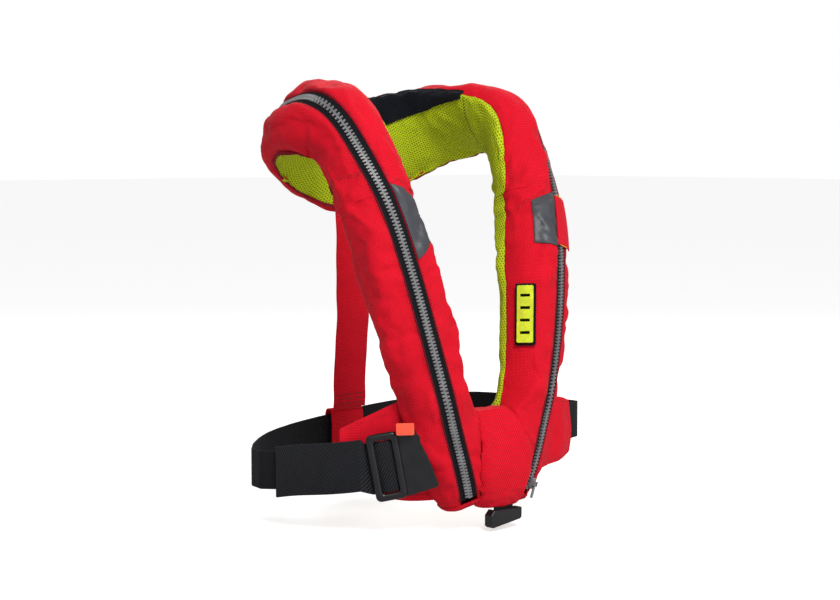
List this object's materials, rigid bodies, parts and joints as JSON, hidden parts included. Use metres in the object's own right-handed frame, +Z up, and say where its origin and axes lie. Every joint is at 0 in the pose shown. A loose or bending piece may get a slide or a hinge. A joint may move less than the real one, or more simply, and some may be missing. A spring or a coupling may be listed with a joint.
{
  "type": "inflatable life jacket",
  "caption": "Over-the-head inflatable life jacket: padded horse-collar cover with a burst zip, folded bladder, inflator, waist belt with side buckle and crotch-strap clip.",
  "frame": {"origin": "middle of the jacket's footprint at the height of the underside of the crotch-strap clip, the jacket's lowest point", "axes": "+Z up; the wearer faces -Y; the wearer's left is +X"},
  "size_m": [0.3407, 0.2759, 0.4561],
  "materials": {
    "black_fleece": "soft pile",
    "black_plastic": "moulded",
    "black_webbing": "woven webbing",
    "bladder": "coated cloth",
    "lime_mesh": "spacer mesh",
    "lime_plastic": "moulded",
    "orange_plastic": "moulded",
    "piping": "piping",
    "plate_grey": "satin",
    "red_cloth": "fine ribbed weave",
    "reflective": "reflective tape",
    "rubber": "seal",
    "salmon_tab": "folded tab",
    "steel": "plated",
    "zip_plastic": "moulded teeth",
    "zip_tape": "woven tape"
  },
  "bodies": {
    "jacket": {"accessory_ladder": "lime_plastic", "adjuster_strap": "black_webbing", "back_strap": "red_cloth", "belt_loop": "black_webbing", "bladder_manifold": "rubber", "collar_inner_cover": "red_cloth", "collar_lining": "lime_mesh", "collar_outer_cover": "red_cloth", "collar_piping": "piping", "crotch_webbing": "black_webbing", "cylinder_seal": "rubber", "folded_bladder": "bladder", "front_panel": "red_cloth", "hook_plate": "plate_grey", "inflator_body": "black_plastic", "inner_zip_tape": "zip_tape", "ladder_backing": "black_webbing", "left_lobe_inner_cover": "red_cloth", "left_lobe_lining": "lime_mesh", "left_lobe_outer_cover": "red_cloth", "left_reflective_patch": "reflective", "left_wing": "red_cloth", "neck_fleece": "black_fleece", "oral_tube": "black_plastic", "outer_zip_tape": "zip_tape", "pull_cord": "black_webbing", "right_lobe_inner_cover": "red_cloth", "right_lobe_lining": "lime_mesh", "right_lobe_outer_cover": "red_cloth", "right_reflective_patch": "reflective", "right_wing": "red_cloth", "waist_belt": "black_webbing", "whistle_cord": "black_webbing", "zip_teeth": "zip_plastic"},
    "buckle": {"buckle_frame": "black_plastic"},
    "burst_flap": {"burst_flap": "red_cloth"},
    "zip_slider": {"zip_slider": "zip_plastic"},
    "zip_pull": {"zip_pull_tab": "zip_plastic"},
    "pull_tab": {"pull_tab": "salmon_tab"},
    "firing_lever": {"firing_lever": "orange_plastic"},
    "cylinder": {"co2_cylinder": "steel"},
    "cartridge_cap": {"cartridge_cap": "orange_plastic"},
    "dust_cap": {"oral_dust_cap": "orange_plastic"},
    "oral_valve": {"oral_valve_poppet": "rubber"},
    "whistle": {"whistle": "orange_plastic"},
    "crotch_clip": {"crotch_clip": "black_plastic"}
  },
  "joints": [
    {"name": "buckle_swing", "type": "hinge", "parent": "jacket", "child": "buckle", "pos_m": [-0.0985, -0.0865, 0.071], "axis": [-0.1305, 0.1205, 0.9841], "range_deg": [0, 40]},
    {"name": "burst_flap_open", "type": "hinge", "parent": "jacket", "child": "burst_flap", "pos_m": [0.12772, -0.10284, 0.2822], "axis": [0.181, 0.3068, 0.9344], "range_deg": [0, 150]},
    {"name": "zip_slide", "type": "slide", "parent": "jacket", "child": "zip_slider", "axis": [0.3253, -0.045, 0.9445], "range_m": [0, 0.05]},
    {"name": "zip_pull_lift", "type": "hinge", "parent": "zip_slider", "child": "zip_pull", "pos_m": [0.0463, -0.131, 0.03852], "axis": [-0.8869, -0.3609, 0.2883], "range_deg": [0, 120]},
    {"name": "pull_tab_slide", "type": "slide", "parent": "jacket", "child": "pull_tab", "axis": [-0.5486, -0.798, 0.2494], "range_m": [0, 0.035]},
    {"name": "firing_lever_turn", "type": "hinge", "parent": "jacket", "child": "firing_lever", "pos_m": [-0.07109, -0.10414, 0.10032], "axis": [-0.3469, -0.9373, 0.0334], "range_deg": [0, 60]},
    {"name": "cylinder_screw", "type": "hinge", "parent": "jacket", "child": "cylinder", "pos_m": [-0.06036, -0.10785, 0.10781], "axis": [-0.2525, 0.1276, 0.9592], "range_deg": [0, 720]},
    {"name": "cartridge_cap_screw", "type": "hinge", "parent": "jacket", "child": "cartridge_cap", "pos_m": [-0.06036, -0.10785, 0.10781], "axis": [-0.2525, 0.1276, 0.9592], "range_deg": [0, 360]},
    {"name": "dust_cap_slide", "type": "slide", "parent": "jacket", "child": "dust_cap", "axis": [0.2514, 0.13, 0.9591], "range_m": [0, 0.016]},
    {"name": "oral_valve_press", "type": "slide", "parent": "jacket", "child": "oral_valve", "axis": [-0.2514, -0.13, -0.9591], "range_m": [0, 0.004], "stiffness_N_per_m": 200},
    {"name": "whistle_swing", "type": "hinge", "parent": "jacket", "child": "whistle", "pos_m": [0.08969, -0.10021, 0.16776], "axis": [-0.033, 0.9915, -0.1258], "range_deg": [-4, 4]},
    {"name": "crotch_clip_swing", "type": "hinge", "parent": "jacket", "child": "crotch_clip", "pos_m": [0.005, -0.126, 0.014], "axis": [1, 0, 0], "range_deg": [-35, 35]}
  ],
  "couplings": [
    {"joint": "firing_lever_turn", "follows": "pull_tab_slide", "rad_per_m": 29.9}
  ]
}
